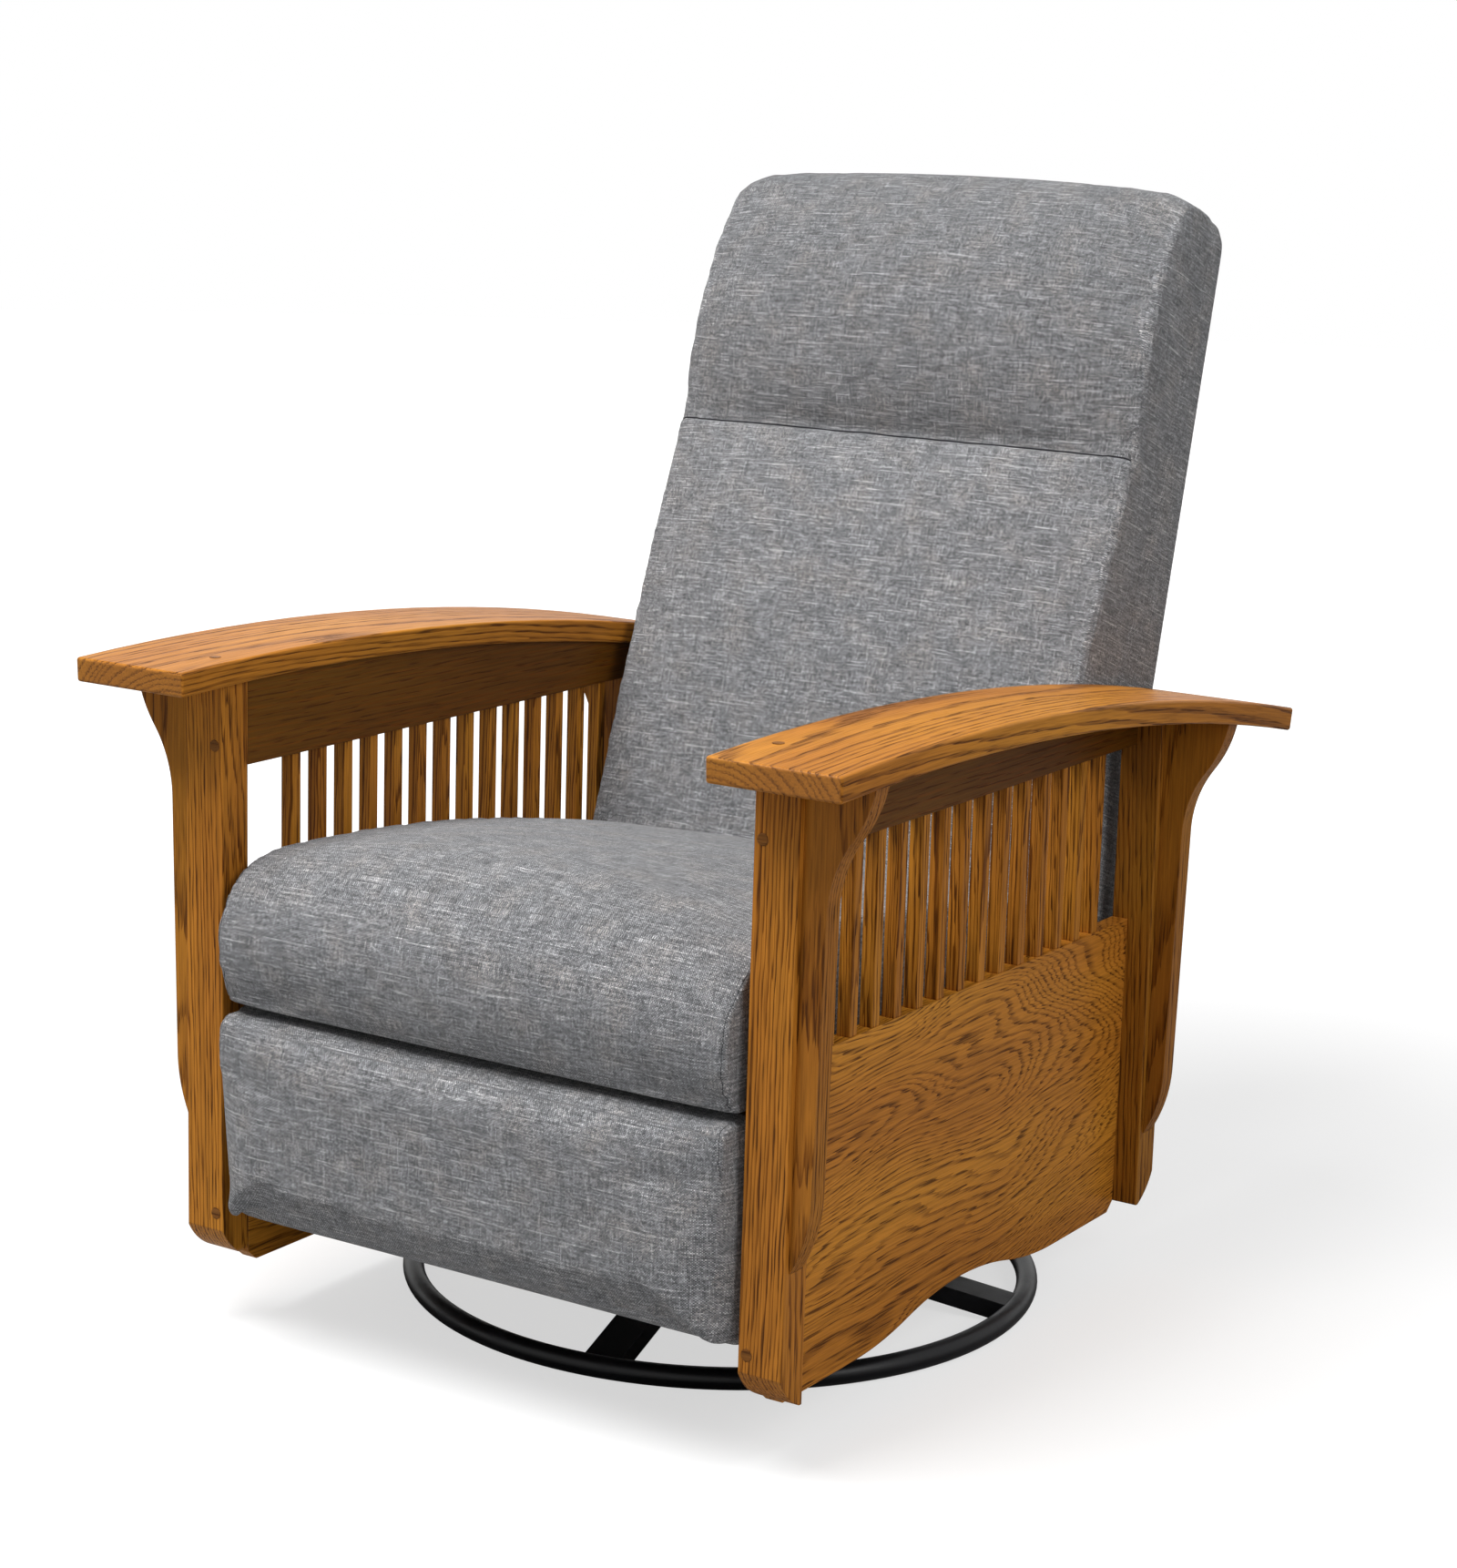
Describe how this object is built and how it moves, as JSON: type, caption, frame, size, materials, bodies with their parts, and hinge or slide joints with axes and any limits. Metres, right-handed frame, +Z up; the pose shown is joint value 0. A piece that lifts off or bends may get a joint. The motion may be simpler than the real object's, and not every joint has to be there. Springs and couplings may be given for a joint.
{
  "type": "reclining armchair",
  "caption": "Mission style oak recliner with bowed arms, slatted sides, corbels, grey cushions, a folding leg rest, and a swivel and glide base on a floor ring",
  "frame": {"origin": "on the floor, at the centre of the floor ring, which is the swivel axis", "axes": "+Z up; the chair faces -Y; +X is the sitter's left"},
  "size_m": [0.85, 1.0099, 1.1373],
  "materials": {
    "oak": "stained quarter and plain sawn oak, satin clear coat",
    "oak_end_grain": "stained oak plugs, satin clear coat",
    "frame_wood": "unfinished planed hardwood",
    "plywood": "unfinished plywood",
    "black_steel": "satin black powder coat",
    "zinc_steel": "zinc plated steel",
    "bearing_steel": "ground bearing steel, lightly greased",
    "nylon": "natural nylon",
    "webbing": "woven elastic webbing",
    "upholstery": "heathered grey woven upholstery with slubs"
  },
  "bodies": {
    "floor_base": {"floor_ring": "black_steel", "spokes": "black_steel", "hub_plate": "black_steel", "lower_bearing_ring": "bearing_steel", "swivel_spindle": "bearing_steel", "swivel_nut": "bearing_steel"},
    "turntable": {"upper_bearing_ring": "bearing_steel", "bearing_balls": "bearing_steel", "turntable_plate": "black_steel", "glider_cradles": "black_steel", "glide_upper_pins": "zinc_steel"},
    "front_glide_links": {"front_swing_links": "black_steel"},
    "rear_glide_links": {"rear_swing_links": "black_steel"},
    "chair_frame": {"left_front_post": "oak", "right_front_post": "oak", "left_rear_post": "oak", "right_rear_post": "oak", "left_front_corbel": "oak", "right_front_corbel": "oak", "left_rear_corbel": "oak", "right_rear_corbel": "oak", "left_upper_rail": "oak", "right_upper_rail": "oak", "left_lower_panel": "oak", "right_lower_panel": "oak", "left_slats": "oak", "right_slats": "oak", "left_arm": "oak", "right_arm": "oak", "wood_plugs": "oak_end_grain", "glide_lower_pins": "zinc_steel", "platform_rails": "black_steel", "platform_cross_tubes": "black_steel", "platform_bolts": "zinc_steel", "rear_stretcher": "oak", "slide_rails": "zinc_steel"},
    "seat": {"seat_side_plates": "zinc_steel", "seat_glides": "nylon", "seat_frame_rails": "frame_wood", "seat_springs": "zinc_steel", "spring_clips": "zinc_steel", "seat_pivot_pins": "zinc_steel", "seat_cushion": "upholstery"},
    "leg_rear_links": {"leg_rest_rear_links": "zinc_steel", "leg_rest_torque_tube": "zinc_steel", "leg_rest_knee_pins": "zinc_steel"},
    "leg_front_links": {"leg_rest_front_links": "zinc_steel", "leg_rest_board_pins": "zinc_steel"},
    "leg_rest": {"leg_rest_board": "plywood", "leg_rest_brackets": "zinc_steel", "leg_rest_pad": "upholstery"},
    "back": {"lower_back_cushion": "upholstery", "headrest_cushion": "upholstery", "back_side_boards": "frame_wood", "back_cross_rails": "frame_wood", "back_webbing": "webbing", "outside_back": "upholstery", "back_brackets": "zinc_steel"}
  },
  "joints": [
    {"name": "swivel", "type": "hinge", "parent": "floor_base", "child": "turntable", "pos_m": [0, 0, 0.068], "axis": [0, 0, 1], "continuous": true},
    {"name": "glide", "type": "hinge", "parent": "turntable", "child": "front_glide_links", "pos_m": [0, -0.11, 0.215], "axis": [1, 0, 0], "range_deg": [-18, 18]},
    {"name": "frame_level", "type": "hinge", "parent": "front_glide_links", "child": "chair_frame", "pos_m": [0, -0.11, 0.125], "axis": [1, 0, 0], "range_deg": [-18.5, 18.5]},
    {"name": "rear_link_swing", "type": "hinge", "parent": "turntable", "child": "rear_glide_links", "pos_m": [0, 0.11, 0.215], "axis": [1, 0, 0], "range_deg": [-18.5, 18.5]},
    {"name": "seat_slide", "type": "slide", "parent": "chair_frame", "child": "seat", "axis": [0, -1, 0], "range_m": [0, 0.0605]},
    {"name": "recline", "type": "hinge", "parent": "seat", "child": "back", "pos_m": [0, 0.175, 0.345], "axis": [-1, 0, 0], "range_deg": [0, 35]},
    {"name": "leg_rest_swing", "type": "hinge", "parent": "seat", "child": "leg_rear_links", "pos_m": [0, -0.32, 0.25], "axis": [-1, 0, 0], "range_deg": [0, 105.76]},
    {"name": "leg_rest_knee", "type": "hinge", "parent": "leg_rear_links", "child": "leg_front_links", "pos_m": [0, -0.29771, 0.08651], "axis": [1, 0, 0], "range_deg": [0, 157.3]},
    {"name": "leg_rest_tilt", "type": "hinge", "parent": "leg_front_links", "child": "leg_rest", "pos_m": [0, -0.3826, 0.228], "axis": [-1, 0, 0], "range_deg": [0, 135.54]}
  ],
  "couplings": [
    {"joint": "frame_level", "follows": "glide", "ratio": -1},
    {"joint": "rear_link_swing", "follows": "glide", "ratio": 1},
    {"joint": "seat_slide", "follows": "recline", "m_per_rad": 0.098},
    {"joint": "leg_rest_knee", "follows": "leg_rest_swing", "ratio": 1.4826},
    {"joint": "leg_rest_tilt", "follows": "leg_rest_swing", "ratio": 1.2768}
  ]
}
